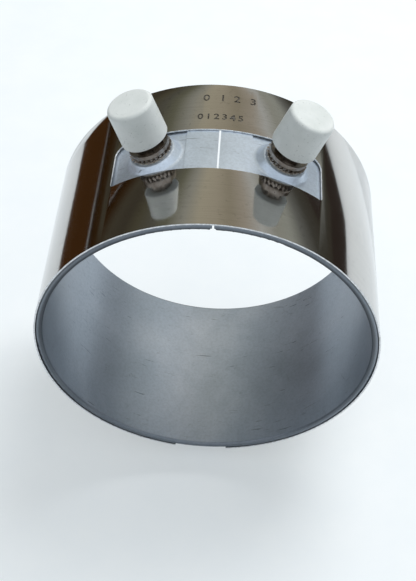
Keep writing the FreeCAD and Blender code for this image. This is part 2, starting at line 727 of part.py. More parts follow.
def make_clamp_loop(side, sign, face, row):
    """A strip folded round a barrel nut, with its tails laid back along the strap."""
    body = new_body(f"clamp_loop_{side}_{face}")
    low = f"({row} * Dims.screw_row - Dims.loop_width / 2)"
    high = f"({row} * Dims.screw_row + Dims.loop_width / 2)"
    tails = (
        ("tail", "Dims.mouth_half_angle", "Dims.tail_angle", "Dims.loop_sheet"),
        ("second_tail", "Dims.eye_angle", "Dims.second_tail_angle", "2 * Dims.loop_sheet"),
    )
    for name, start, end, height in tails:
        section = [
            (low, "Dims.loop_foot"),
            (high, "Dims.loop_foot"),
            (high, f"Dims.loop_foot + {height}"),
            (low, f"Dims.loop_foot + {height}"),
        ]
        middle = f"{sign} * (180 - ({start} + {end}) / 2)"
        around(body, name, section, f"{end} - {start}", middle)
    along = {"turn": Y_UP, "Base_x": f"{sign} * Dims.eye_side", "Base_z": "-Dims.eye_depth"}
    primitive(
        body,
        "AdditiveCylinder",
        "eye",
        Radius="Dims.loop_radius",
        Height="Dims.loop_width",
        Base_y=low,
        **along,
    )
    primitive(
        body,
        "SubtractiveCylinder",
        "barrel_seat",
        Radius="Dims.eye_radius",
        Height="Dims.loop_width + 2 * Dims.overrun",
        Base_y=f"{low} - Dims.overrun",
        **along,
    )
    slot = "2 * (Dims.screw_radius + Dims.eye_slot_gap)"
    primitive(
        body,
        "SubtractiveBox",
        "screw_slot",
        Length="2 * (Dims.loop_radius + Dims.overrun)",
        Width=slot,
        Height="2 * (Dims.screw_radius + Dims.eye_slot_side_gap)",
        Base_x=f"{sign} * Dims.eye_side - Dims.loop_radius - Dims.overrun",
        Base_y=f"{row} * Dims.screw_row - ({slot}) / 2",
        Base_z="-Dims.eye_depth - Dims.screw_radius - Dims.eye_slot_side_gap",
    )
    return body


def make_barrel(label, sign, row, hole):
    """A barrel nut lying along the band's axis, cross-drilled for the clamp screw."""
    body = new_body(label)
    primitive(
        body,
        "AdditiveCylinder",
        "barrel",
        turn=Y_UP,
        Radius="Dims.barrel_radius",
        Height="Dims.loop_width",
        Base_x=f"{sign} * Dims.eye_side",
        Base_y=f"{row} * Dims.screw_row - Dims.loop_width / 2",
        Base_z="-Dims.eye_depth",
    )
    primitive(
        body,
        "SubtractiveCylinder",
        "cross_hole",
        turn=X_UP,
        Radius=hole,
        Height="2 * (Dims.barrel_radius + Dims.overrun)",
        Base_x=f"{sign} * Dims.eye_side - Dims.barrel_radius - Dims.overrun",
        Base_y=f"{row} * Dims.screw_row",
        Base_z="-Dims.eye_depth",
    )
    return body


def place_along_screw(body, row, side):
    """Turns a body's Z axis to +X and puts its origin on the screw's axis."""
    body.Placement = Placement(Vector(0, 0, 0), Rotation(Vector(0, 1, 0), 90))
    bind(body, Base_x=f"-{side}", Base_y=f"{row} * Dims.screw_row", Base_z="-Dims.eye_depth")


def make_clamp_screw(face, row):
    """One clamp screw with its washer; the head is on the left."""
    washer = new_body(f"screw_washer_{face}")
    place_along_screw(washer, row, "(Dims.washer_side + Dims.clamp_washer_height)")
    bore = "Dims.screw_radius + Dims.washer_gap"
    spun(washer, "ring", ring_section(bore, "Dims.clamp_washer_radius", "0", "Dims.clamp_washer_height"))

    screw = new_body(f"clamp_screw_{face}")
    place_along_screw(screw, row, "Dims.head_side")
    spun(
        screw,
        "head_and_shank",
        [
            ("0", "-Dims.screw_head_height"),
            ("Dims.screw_head_radius", "-Dims.screw_head_height", "Dims.screw_head_round"),
            ("Dims.screw_head_radius", "0"),
            ("Dims.screw_radius", "0"),
            ("Dims.screw_radius", "Dims.screw_length - Dims.tip_chamfer"),
            ("Dims.screw_radius - Dims.tip_chamfer", "Dims.screw_length"),
            ("0", "Dims.screw_length"),
        ],
    )
    primitive(
        screw,
        "SubtractiveBox",
        "driver_slot",
        Length="2 * (Dims.screw_head_radius + Dims.overrun)",
        Width="Dims.screw_slot_width",
        Height="Dims.screw_slot_depth + Dims.overrun",
        Base_x="-Dims.screw_head_radius - Dims.overrun",
        Base_y="-Dims.screw_slot_width / 2",
        Base_z="-Dims.screw_head_height - Dims.overrun",
    )


def make_band():
    """The sheath and everything packed inside it."""
    make_inner_sheath()
    make_sheet("inner_mica", "Dims.pack_edge", "Dims.inner_mica_foot", "Dims.inner_mica_top")
    make_sheet("heating_core", "Dims.pack_edge", "Dims.core_foot", "Dims.core_top")
    make_ribbon()
    make_outer_mica()
    make_back_plate()
    make_strap()


def make_clamp():
    """Loops, barrel nuts and screws at both ends of the strap's mouth."""
    for face, row in (("front", "-1"), ("back", "1")):
        for side, sign in (("left", "-1"), ("right", "1")):
            make_clamp_loop(side, sign, face, row)
        make_barrel(f"plain_barrel_{face}", "-1", row, "Dims.screw_radius + Dims.plain_hole_gap")
        make_barrel(f"tapped_barrel_{face}", "1", row, "Dims.screw_radius + Dims.thread_gap")
        make_clamp_screw(face, row)


def check_document():
    """Stops on any object that failed and on any sub-part that isn't one valid solid."""
    for thing in doc.Objects:
        if "Invalid" in thing.State or "Error" in thing.State:
            raise RuntimeError(f"{thing.Label}: {thing.State}")
    bodies = [thing for thing in doc.Objects if thing.TypeId == "PartDesign::Body"]
    for body in bodies:
        if body.Shape.isNull() or not body.Shape.isValid():
            raise RuntimeError(f"{body.Label}: no valid shape")
        if len(body.Shape.Solids) != 1:
            raise RuntimeError(f"{body.Label}: {len(body.Shape.Solids)} solids")
    return bodies


def write_parts(bodies):
    """Writes each sub-part to a STEP file of its own."""
    os.makedirs("parts", exist_ok=True)
    for body in bodies:
        body.Shape.exportStep(os.path.join("parts", body.Label + ".step"))
        print(f"{body.Label}: {body.Shape.Volume:.1f} mm3")


fill_sheet()
make_band()
for terminal_side, terminal_sign in (("left", "-1"), ("right", "1")):
    make_terminal(terminal_side, terminal_sign)
make_clamp()
doc.recompute()
write_parts(check_document())
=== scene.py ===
import bpy
import math
from mathutils import Matrix, Vector


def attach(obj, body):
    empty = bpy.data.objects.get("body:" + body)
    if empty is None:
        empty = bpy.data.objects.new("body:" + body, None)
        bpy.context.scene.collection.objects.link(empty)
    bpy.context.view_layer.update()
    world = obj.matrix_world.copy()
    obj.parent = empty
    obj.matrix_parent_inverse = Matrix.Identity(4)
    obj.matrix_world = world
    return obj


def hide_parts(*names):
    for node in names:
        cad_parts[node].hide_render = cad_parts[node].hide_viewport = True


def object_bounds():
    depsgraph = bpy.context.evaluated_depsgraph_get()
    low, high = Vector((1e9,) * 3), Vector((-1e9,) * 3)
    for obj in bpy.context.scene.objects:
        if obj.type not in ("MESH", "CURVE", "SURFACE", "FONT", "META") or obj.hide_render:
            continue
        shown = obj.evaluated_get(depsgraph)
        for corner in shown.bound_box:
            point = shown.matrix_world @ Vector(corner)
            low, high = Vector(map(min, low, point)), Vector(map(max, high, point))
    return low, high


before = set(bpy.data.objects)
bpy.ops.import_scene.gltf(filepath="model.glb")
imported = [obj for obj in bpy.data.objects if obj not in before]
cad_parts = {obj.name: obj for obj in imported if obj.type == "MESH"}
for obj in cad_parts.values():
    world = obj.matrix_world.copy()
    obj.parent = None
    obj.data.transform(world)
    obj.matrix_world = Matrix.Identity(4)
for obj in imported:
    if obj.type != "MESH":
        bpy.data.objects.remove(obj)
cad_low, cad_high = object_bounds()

MM = 0.001
SIDES = ("left", "right")
FACES = ("front", "back")
# Edges sharper than this are broken by a bevel.
EDGE_ANGLE = math.radians(40)


def clear_selection():
    """Leaves every object unselected, so that an operator acts on one piece alone."""
    bpy.ops.object.select_all(action="DESELECT")


def paint(finish, *names):
    """Gives a finish to CAD nodes."""
    for name in names:
        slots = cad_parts[name].data.materials
        slots.clear()
        slots.append(finish)


# ---------------------------------------------------------------- finishes


def start_finish(name, colour, metallic, roughness):
    """A new material with its shader set, and the object's own coordinates to hang patterns on."""
    finish = bpy.data.materials.new(name)
    finish.use_nodes = True
    tree = finish.node_tree
    shader = tree.nodes["Principled BSDF"]
    shader.inputs["Base Color"].default_value = (*colour, 1)
    shader.inputs["Metallic"].default_value = metallic
    shader.inputs["Roughness"].default_value = roughness
    place = tree.nodes.new("ShaderNodeTexCoord").outputs["Object"]
    return finish, tree, shader, place


def stretched(tree, place, scale):
    """The coordinates stretched along each axis."""
    node = tree.nodes.new("ShaderNodeMapping")
    node.inputs["Scale"].default_value = scale
    tree.links.new(place, node.inputs["Vector"])
    return node.outputs["Vector"]


def noise(tree, place, scale, detail=4.0, roughness=0.55, distortion=0.0):
    """Cloudy noise; scale is in clouds per metre."""
    node = tree.nodes.new("ShaderNodeTexNoise")
    node.inputs["Scale"].default_value = scale
    node.inputs["Detail"].default_value = detail
    node.inputs["Roughness"].default_value = roughness
    node.inputs["Distortion"].default_value = distortion
    tree.links.new(place, node.inputs["Vector"])
    return node.outputs["Fac"]


def ramp(tree, value, *stops):
    """Turns a value into a colour through stops of (position, colour or grey)."""
    node = tree.nodes.new("ShaderNodeValToRGB")
    marks = node.color_ramp.elements
    while len(marks) < len(stops):
        marks.new(0.5)
    for mark, (position, colour) in zip(marks, stops):
        mark.position = position
        grey = isinstance(colour, (int, float))
        mark.color = (colour, colour, colour, 1) if grey else (*colour, 1)
    tree.links.new(value, node.inputs["Fac"])
    return node.outputs["Color"]


def blend(tree, kind, share, first, second):
    """Mixes two colours; each is a link or a plain colour, and so is the share."""
    node = tree.nodes.new("ShaderNodeMix")
    node.data_type = "RGBA"
    node.blend_type = kind
    for socket, given in ((0, share), (6, first), (7, second)):
        if isinstance(given, bpy.types.NodeSocket):
            tree.links.new(given, node.inputs[socket])
        elif socket == 0:
            node.inputs[socket].default_value = given
        else:
            node.inputs[socket].default_value = (*given, 1)
    return node.outputs[2]


def measure(tree, value, start, end, at_start, at_end):
    """Turns a value between start and end into a level between two others."""
    node = tree.nodes.new("ShaderNodeMapRange")
    node.inputs["From Min"].default_value = start
    node.inputs["From Max"].default_value = end
    node.inputs["To Min"].default_value = at_start
    node.inputs["To Max"].default_value = at_end
    tree.links.new(value, node.inputs["Value"])
    return node.outputs["Result"]


def rough_between(tree, shader, value, low, high):
    """Lets the roughness wander between two levels with a pattern."""
    tree.links.new(measure(tree, value, 0, 1, low, high), shader.inputs["Roughness"])


def combine(tree, operation, first, second=None):
    """One sum on one or two plain values."""
    node = tree.nodes.new("ShaderNodeMath")
    node.operation = operation
    tree.links.new(first, node.inputs[0])
    if second is not None:
        tree.links.new(second, node.inputs[1])
    return node.outputs[0]


def raise_surface(tree, shader, height, distance, strength=1.0, below=None):
    """Lifts the surface by a pattern; distance is the lift in metres."""
    node = tree.nodes.new("ShaderNodeBump")
    node.inputs["Strength"].default_value = strength
    node.inputs["Distance"].default_value = distance
    tree.links.new(height, node.inputs["Height"])
    if below is not None:
        tree.links.new(below, node.inputs["Normal"])
    tree.links.new(node.outputs["Normal"], shader.inputs["Normal"])
    return node.outputs["Normal"]


# Painted shade in the bore, darker towards its top, and on the folded rims; painted light on the outer
# hems.
BORE_UNSHADED_END = (-62 * MM, 1.0)
BORE_PAINTED_SHADE_END = (25 * MM, 0.36)
HEM_RADII = (65.6 * MM, 66.9 * MM)
HEM_PAINTED_LIGHT = (1.5, 1.5, 1.5)
RIM_STARTS = (38.8 * MM, 39.5 * MM)
RIM_PAINTED_SHADE = 0.42


def sheath_painted_light(tree, place):
    """Painted shade darkens the bore towards its top and the folded rims; painted light brightens the
    hems outside.
    """
    parts = tree.nodes.new("ShaderNodeSeparateXYZ")
    tree.links.new(place, parts.inputs[0])
    across = combine(tree, "MULTIPLY", parts.outputs["X"], parts.outputs["X"])
    up = combine(tree, "MULTIPLY", parts.outputs["Z"], parts.outputs["Z"])
    radius = combine(tree, "SQRT", combine(tree, "ADD", across, up))
    bore = measure(tree, parts.outputs["Z"], BORE_UNSHADED_END[0], BORE_PAINTED_SHADE_END[0], BORE_UNSHADED_END[1], BORE_PAINTED_SHADE_END[1])
    hem = measure(tree, radius, *HEM_RADII, 0.0, 1.0)
    along = combine(tree, "ABSOLUTE", parts.outputs["Y"])
    rim = measure(tree, along, *RIM_STARTS, 1.0, RIM_PAINTED_SHADE)
    shade = blend(tree, "MIX", hem, bore, HEM_PAINTED_LIGHT)
    return blend(tree, "MULTIPLY", 1.0, shade, rim)


def galvanised_sheet(name, light, shade=None):
    """Dull blue-grey zinc-coated steel with clouds, grain, rubbed marks and hair scratches.

    light scales its shades as painted light, one lit or shaded copy per piece, and shade is a function
    that paints shade or light on it by place.
    """
    finish, tree, shader, place = start_finish(name, (0.42, 0.47, 0.53), 0.6, 0.36)
    clouds = noise(tree, place, 24, 5, 0.6, 0.5)
    shades = ((0.3, (0.39, 0.45, 0.515)), (0.5, (0.46, 0.525, 0.6)), (0.72, (0.56, 0.62, 0.69)))
    base = ramp(tree, clouds, *((mark, tuple(light * part for part in tone)) for mark, tone in shades))
    grain = noise(tree, place, 900, 3, 0.6)
    speckle = ramp(tree, grain, (0.35, 0.82), (0.6, 1.0))
    base = blend(tree, "MULTIPLY", 0.6, base, speckle)
    smudges = noise(tree, place, 75, 5, 0.75, 1.6)
    dark = ramp(tree, smudges, (0.62, 1.0), (0.74, 0.5))
    base = blend(tree, "MULTIPLY", 0.6, base, dark)
    strokes = noise(tree, stretched(tree, place, (60, 700, 60)), 1.6, 2, 0.5, 0.8)
    scratch = ramp(tree, strokes, (0.27, 0.35), (0.31, 1.0))
    base = blend(tree, "MULTIPLY", 0.7, base, scratch)
    if shade is not None:
        base = blend(tree, "MULTIPLY", 1.0, base, shade(tree, place))
    tree.links.new(base, shader.inputs["Base Color"])
    rough_between(tree, shader, clouds, 0.26, 0.46)
    lift = raise_surface(tree, shader, grain, 0.00002, 0.5)
    raise_surface(tree, shader, noise(tree, place, 32, 3), 0.0006, 0.6, lift)
    return finish


def polished_strap():
    """Mirror-polished stainless steel, slightly wavy, with hairline scratches."""
    finish, tree, shader, place = start_finish("polished_strap", (0.5, 0.485, 0.46), 1.0, 0.05)
    hairs = noise(tree, stretched(tree, place, (14, 500, 14)), 3, 4, 0.7)
    base = ramp(tree, hairs, (0.3, (0.47, 0.458, 0.435)), (0.6, (0.51, 0.497, 0.475)))
    specks = noise(tree, place, 420, 4, 0.7, 0.6)
    dull = ramp(tree, specks, (0.3, 0.72), (0.42, 1.0))
    base = blend(tree, "MULTIPLY", 0.6, base, dull)
    tree.links.new(base, shader.inputs["Base Color"])
    film = noise(tree, place, 30, 4, 0.6, 0.6)
    rough_between(tree, shader, film, 0.05, 0.12)
    waves = noise(tree, stretched(tree, place, (1, 0.4, 1)), 34, 2, 0.5)
    raise_surface(tree, shader, waves, 0.0006, 0.3)
    return finish


def painted_edge_highlight():
    """Pale, half-metallic faces along the strap's cut edges as a painted highlight, with darker nicks."""
    finish, tree, shader, place = start_finish("painted_edge_highlight", (0.8, 0.82, 0.84), 0.35, 0.3)
    nicks = noise(tree, place, 700, 4, 0.7)
    base = ramp(tree, nicks, (0.3, (0.45, 0.45, 0.44)), (0.55, (0.88, 0.9, 0.92)))
    tree.links.new(base, shader.inputs["Base Color"])
    return finish


def painted_stamp_shade():
    """Painted shade in the bottom of a stamped numeral: dark and dull, mottled."""
    finish, tree, shader, place = start_finish("painted_stamp_shade", (0.1, 0.095, 0.085), 0.7, 0.4)
    stamp_mottle = noise(tree, place, 900, 4, 0.7)
    base = ramp(tree, stamp_mottle, (0.4, (0.05, 0.045, 0.04)), (0.7, (0.3, 0.29, 0.27)))
    tree.links.new(base, shader.inputs["Base Color"])
    return finish


def plain_metal(name, colour, roughness, metallic=1.0, stain=(0.5, 0.45, 0.38)):
    """Small machined or pressed hardware with light staining in patches."""
    finish, tree, shader, place = start_finish(name, colour, metallic, roughness)
    patches = noise(tree, place, 260, 5, 0.65, 0.6)
    share = ramp(tree, patches, (0.45, 0.0), (0.7, 1.0))
    stained = tuple(c * s for c, s in zip(colour, stain))
    tree.links.new(blend(tree, "MIX", share, colour, stained), shader.inputs["Base Color"])
    rough_between(tree, shader, patches, roughness * 0.7, roughness * 1.6)
    grain = noise(tree, place, 1800, 3, 0.6)
    raise_surface(tree, shader, grain, 0.00003, 0.4)
    return finish


def ceramic():
    """Unglazed steatite: pale grey with a green cast, faint speckle, a satin skin."""
    finish, tree, shader, place = start_finish("ceramic", (0.66, 0.69, 0.66), 0.0, 0.38)
    clouds = noise(tree, place, 90, 4, 0.6)
    base = ramp(tree, clouds, (0.3, (0.60, 0.635, 0.61)), (0.7, (0.72, 0.745, 0.725)))
    specks = noise(tree, place, 1300, 2, 0.5)
    dots = ramp(tree, specks, (0.27, 0.55), (0.34, 1.0))
    base = blend(tree, "MULTIPLY", 0.7, base, dots)
    tree.links.new(base, shader.inputs["Base Color"])
    rough_between(tree, shader, clouds, 0.3, 0.46)
    raise_surface(tree, shader, noise(tree, place, 700, 4, 0.6), 0.00006, 0.6)
    return finish


def mica():
    """Silvery layered mica with brown flakes."""
    finish, tree, shader, place = start_finish("mica", (0.5, 0.45, 0.38), 0.1, 0.35)
    flakes = noise(tree, place, 240, 5, 0.7, 1.5)
    base = ramp(tree, flakes, (0.35, (0.32, 0.26, 0.19)), (0.65, (0.62, 0.57, 0.48)))
    tree.links.new(base, shader.inputs["Base Color"])
    raise_surface(tree, shader, flakes, 0.00005, 0.6)
    return finish


# The outer plate is a painted-lit copy of the zinc sheet and the sheath a painted-shaded copy.
GALVANISED = galvanised_sheet("galvanised_plate", 1.4)
SHEATH = galvanised_sheet("galvanised_sheath", 0.95, sheath_painted_light)
STRAP = polished_strap()
# The strap's cut edges get a painted highlight.
EDGE_HIGHLIGHT_FINISH = painted_edge_highlight()
# The stamped numerals' bottoms get painted shade.
STAMP_SHADE_FINISH = painted_stamp_shade()
CERAMIC = ceramic()
MICA = mica()
NICKEL = plain_metal("nickel", (0.42, 0.38, 0.34), 0.26, stain=(0.42, 0.34, 0.26))
BRASS = plain_metal("brass", (0.68, 0.5, 0.24), 0.3)
RIBBON = plain_metal("ribbon", (0.36, 0.34, 0.31), 0.35)
CLAMP_STEEL = plain_metal("clamp_steel", (0.55, 0.54, 0.52), 0.3)
ZINC = plain_metal("zinc_steel", (0.5, 0.51, 0.53), 0.34)

paint(GALVANISED, "back_plate")
paint(SHEATH, "inner_sheath")
paint(STRAP, "clamp_strap")
paint(MICA, "inner_mica", "heating_core", "outer_mica")
paint(RIBBON, "resistance_ribbon")
for side in SIDES:
    paint(MICA, f"stud_bush_{side}", f"mica_washer_{side}")
    paint(NICKEL, f"terminal_stud_{side}", f"terminal_nut_{side}")
    paint(NICKEL, f"tooth_washer_{side}", f"cup_washer_{side}")
    paint(BRASS, f"cap_insert_{side}")
    paint(CERAMIC, f"ceramic_cap_{side}")
    for face in FACES:
        paint(CLAMP_STEEL, f"clamp_loop_{side}_{face}")
for face in FACES:
    paint(ZINC, f"plain_barrel_{face}", f"tapped_barrel_{face}")
    paint(ZINC, f"screw_washer_{face}", f"clamp_screw_{face}")


# ---------------------------------------------------------------- workshop tools


def start_piece(name, operator, **settings):
    """Runs one add operator and hands back the new object."""
    clear_selection()
    operator(**settings)
    piece = bpy.context.object
    piece.name = name
    piece.data.name = name
    return piece


def edit(piece, mode="FACE"):
    """Opens a piece for editing with nothing selected."""
    clear_selection()
    bpy.context.view_layer.objects.active = piece
    piece.select_set(True)
    bpy.ops.object.mode_set(mode="EDIT")
    bpy.ops.mesh.select_mode(type=mode)
    bpy.ops.mesh.select_all(action="DESELECT")


def done():
    """Leaves edit mode."""
    bpy.ops.object.mode_set(mode="OBJECT")


def pick(piece, kind, test):
    """Selects the vertices, edges or faces that pass a test, while the piece is open."""
    bpy.ops.mesh.select_all(action="DESELECT")
    bpy.ops.object.mode_set(mode="OBJECT")
    for part in getattr(piece.data, kind):
        part.select = test(part)
    bpy.ops.object.mode_set(mode="EDIT")


def apply_place(piece, matrix=None):
    """Puts the piece's place into its mesh."""
    if matrix is not None:
        piece.matrix_world = matrix @ piece.matrix_world
    clear_selection()
    bpy.context.view_layer.objects.active = piece
    piece.select_set(True)
    bpy.ops.object.transform_apply(location=True, rotation=True, scale=True)


def apply_modifier(piece, kind, **settings):
    """Adds a modifier, sets it and applies it."""
    change = piece.modifiers.new(kind.lower(), kind)
    for key, value in settings.items():
        setattr(change, key, value)
    clear_selection()
    bpy.context.view_layer.objects.active = piece
    piece.select_set(True)
    bpy.ops.object.modifier_apply(modifier=change.name)


def cut_away(piece, cutter):
    """Cuts one piece out of another and throws the cutter away."""
    apply_modifier(piece, "BOOLEAN", operation="DIFFERENCE", solver="EXACT", object=cutter)
    bpy.data.objects.remove(cutter)


def join(first, *others):
    """Joins pieces into the first one."""
    clear_selection()
    for piece in others:
        piece.select_set(True)
    first.select_set(True)
    bpy.context.view_layer.objects.active = first
    bpy.ops.object.join()
    return first


def smooth(piece, degrees=30):
    """Rounds the shading except over sharp edges."""
    clear_selection()
    bpy.context.view_layer.objects.active = piece
    piece.select_set(True)
    bpy.ops.object.shade_smooth_by_angle(angle=math.radians(degrees))


def finish_piece(piece, finish, slot, body, *nodes):
    """Gives a piece a finish unless it has one, its body and the nodes it stands for; slot is not used.
    """
    if not piece.data.materials:
        piece.data.materials.append(finish)
    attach(piece, body)
    if nodes:
        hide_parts(*nodes)


# ---------------------------------------------------------------- clamp strap

STRAP_FOOT = 67.3 * MM
STRAP_SHEET = 0.6 * MM
STRAP_TOP = STRAP_FOOT + STRAP_SHEET
HALF_WIDTH = 40 * MM
STRAP_HALF_TURN = math.pi - math.asin(11 * MM / STRAP_TOP)
WINDOW_HALF_TURN = math.radians(35.9)
WINDOW_FRONT = -10.25 * MM
WINDOW_BACK = 12.05 * MM
WINDOW_ROUND_FRONT = 1.4 * MM
WINDOW_ROUND_BACK = 5 * MM
CUT_EDGE = 0.1 * MM
TURN_STEP = math.radians(2)
STRAP_FINISHES = (STRAP, EDGE_HIGHLIGHT_FINISH, STAMP_SHADE_FINISH)
SHEET_FACE, CUT_FACE, STAMP_FACE = range(3)
# A face of the flat strap whose normal rises less than this is a cut edge.
FLAT_NORMAL = 0.97
STAMP_DEPTH = 0.2 * MM
STAMP_WEIGHT = 0.08 * MM
# words, place across and along the strap, and height, in millimetres
STAMPS = (
    ("0", -7.6, 29.6, 5.4),
    ("1", -1.2, 29.6, 5.4),
    ("2", 4.4, 29.6, 5.4),
    ("3", 10.8, 29.6, 5.4),
    ("0 1 2 3 4 5", -9.2, 18.2, 4.6),
)


def window_cutter():
    """The window's shape, with two corner radii, as a block through the flat strap."""
    cutter = start_piece("window_cutter", bpy.ops.mesh.primitive_plane_add, size=1)
    half = WINDOW_HALF_TURN * STRAP_TOP
    middle = (WINDOW_FRONT + WINDOW_BACK) / 2
    cutter.matrix_world = Matrix.Translation((0, middle, -STRAP_SHEET)) @ Matrix.Diagonal(
        (2 * half, WINDOW_BACK - WINDOW_FRONT, 1, 1)
    )
    apply_place(cutter)
    edit(cutter, "VERT")
    pick(cutter, "vertices", lambda v: v.co.y > WINDOW_BACK - MM)
    bpy.ops.mesh.bevel(offset=WINDOW_ROUND_BACK, segments=9, affect="VERTICES")
    pick(cutter, "vertices", lambda v: v.co.y < WINDOW_FRONT + MM)
    bpy.ops.mesh.bevel(offset=WINDOW_ROUND_FRONT, segments=9, affect="VERTICES")
    bpy.ops.mesh.select_all(action="SELECT")
    bpy.ops.mesh.extrude_region_move(TRANSFORM_OT_translate={"value": (0, 0, 3 * STRAP_SHEET)})
    bpy.ops.mesh.select_all(action="SELECT")
    bpy.ops.mesh.normals_make_consistent(inside=False)
    done()
    return cutter


def stamp_cutter(words, across, along, height):
    """One stamped group of plain numerals, as a block that dips into the flat strap's face."""
    text = start_piece("stamp_cutter", bpy.ops.object.text_add)
    text.data.body = words
    text.data.size = height * MM
    text.data.extrude = STAMP_DEPTH
    text.data.resolution_u = 4
    text.data.offset = STAMP_WEIGHT
    text.data.space_character = 0.9
    clear_selection()
    bpy.context.view_layer.objects.active = text
    text.select_set(True)
    bpy.ops.object.convert(target="MESH")
    apply_place(text, Matrix.Translation((across * MM, along * MM, STRAP_SHEET)))
    edit(text)
    bpy.ops.mesh.select_all(action="SELECT")
    bpy.ops.mesh.remove_doubles(threshold=0.01 * MM)
    bpy.ops.mesh.normals_make_consistent(inside=False)
    done()
    for finish in STRAP_FINISHES:
        text.data.materials.append(finish)
    # The stamped numerals get the painted shade finish.
    for face in text.data.polygons:
        face.material_index = STAMP_FACE
    return text


def wrap(piece):
    """Rolls a flat piece round the band: across becomes turn, height becomes radius."""
    for vertex in piece.data.vertices:
        turn = vertex.co.x / STRAP_TOP
        radius = STRAP_FOOT + vertex.co.z
        vertex.co.x = radius * math.sin(turn)
        vertex.co.z = radius * math.cos(turn)
    piece.data.update()


def make_strap():
    """The strap: cut and stamped flat, edges broken, then rolled round the band."""
    strap = start_piece("strap", bpy.ops.mesh.primitive_cube_add, size=1)
    half = STRAP_HALF_TURN * STRAP_TOP
    strap.matrix_world = Matrix.Translation((0, 0, STRAP_SHEET / 2)) @ Matrix.Diagonal(
        (2 * half, 2 * HALF_WIDTH, STRAP_SHEET, 1)
    )
    apply_place(strap)
    cut_away(strap, window_cutter())
    apply_modifier(
        strap, "BEVEL", width=CUT_EDGE, segments=2, limit_method="ANGLE", angle_limit=EDGE_ANGLE
    )
    for finish in STRAP_FINISHES:
        strap.data.materials.append(finish)
    # Sheet faces keep the strap finish; cut-edge faces get the painted highlight finish.
    for face in strap.data.polygons:
        face.material_index = SHEET_FACE if abs(face.normal.z) > FLAT_NORMAL else CUT_FACE
    for stamp in STAMPS:
        cut_away(strap, stamp_cutter(*stamp))
    edit(strap, "VERT")
    steps = int(STRAP_HALF_TURN / TURN_STEP)
    for step in range(-steps, steps + 1):
        bpy.ops.mesh.select_all(action="SELECT")
        bpy.ops.mesh.bisect(plane_co=(step * TURN_STEP * STRAP_TOP, 0, 0), plane_no=(1, 0, 0))
    done()
    wrap(strap)
    smooth(strap)
    finish_piece(strap, STRAP, "polished_strap", "band", "clamp_strap")


# ---------------------------------------------------------------- studs and screws

THREAD_SEGMENTS = 40
THREAD_ROWS = 6
THREAD_SHARE = 0.58


def threaded_rod(name, radius, pitch, length):
    """A rod along Z from the origin: a flat sheet rolled up, with a helical thread pressed in."""
    turns = length / pitch
    rows = int(turns * THREAD_ROWS)
    rod = start_piece(
        name, bpy.ops.mesh.primitive_grid_add, x_subdivisions=THREAD_SEGMENTS, y_subdivisions=rows, size=1
    )
    for vertex in rod.data.vertices:
        share = vertex.co.x + 0.5
        up = (vertex.co.y + 0.5) * length
        wave = abs(2 * ((up / pitch - share) % 1) - 1)
        runout = min(1, up / pitch, (length - up) / pitch)
        reach = radius - pitch * THREAD_SHARE * min(1, 1.25 * wave) * runout - 0.35 * pitch * (1 - runout)
        turn = 2 * math.pi * share
        vertex.co = (reach * math.cos(turn), reach * math.sin(turn), up)
    rod.data.update()
    edit(rod, "VERT")
    bpy.ops.mesh.select_all(action="SELECT")
    bpy.ops.mesh.remove_doubles(threshold=0.01 * MM)
    for level in (0, length):
        pick(rod, "vertices", lambda v: abs(v.co.z - level) < 0.001 * MM)
        bpy.ops.mesh.edge_face_add()
    bpy.ops.mesh.select_all(action="SELECT")
    bpy.ops.mesh.normals_make_consistent(inside=False)
    done()
    return rod


def turned_disc(name, radius, foot, top, edge, segments=48):
    """A short disc along Z with broken edges."""
    disc = start_piece(
        name, bpy.ops.mesh.primitive_cylinder_add, vertices=segments, radius=radius, depth=top - foot,
        location=(0, 0, (foot + top) / 2),
    )
    apply_place(disc)
    apply_modifier(disc, "BEVEL", width=edge, segments=3, limit_method="ANGLE", angle_limit=EDGE_ANGLE)
    return disc


TERMINAL_TURN = math.radians(21.2)
TERMINAL_SHIFT = 0.75 * MM
STUD_RADIUS = 2.98 * MM
STUD_PITCH = 1 * MM
STUD_TOP = 87.636 * MM
STUD_HEAD_RADIUS = 5.5 * MM
STUD_HEAD_TOP = 67.86 * MM
STUD_HEAD_FOOT = 66.46 * MM


def make_stud(side, sign):
    """A terminal stud: a flat head under the boss and a thread up into the cap."""
    rod = threaded_rod(f"stud_{side}", STUD_RADIUS, STUD_PITCH, STUD_TOP - STUD_HEAD_TOP)
    apply_place(rod, Matrix.Translation((0, 0, STUD_HEAD_TOP)))
    head = turned_disc("stud_head", STUD_HEAD_RADIUS, STUD_HEAD_FOOT, STUD_HEAD_TOP, 0.2 * MM)
    stud = join(rod, head)
    place = Matrix.Translation((0, TERMINAL_SHIFT, 0)) @ Matrix.Rotation(sign * TERMINAL_TURN, 4, "Y")
    apply_place(stud, place)
    smooth(stud, 40)
    finish_piece(stud, NICKEL, "nickel", "band", f"terminal_stud_{side}")


SCREW_RADIUS = 2.48 * MM
SCREW_PITCH = 0.8 * MM
SCREW_LENGTH = 46.06 * MM
SCREW_HEAD_RADIUS = 4.2 * MM
SCREW_HEAD_HEIGHT = 3.3 * MM
SCREW_SIDE = 21.76 * MM
SCREW_DEPTH = 71.094 * MM
SCREW_ROW = 20.5 * MM
SCREW_SLOT = (10 * MM, 1.3 * MM, 3 * MM)
SCREW_SLOT_DEPTH = 1.5 * MM


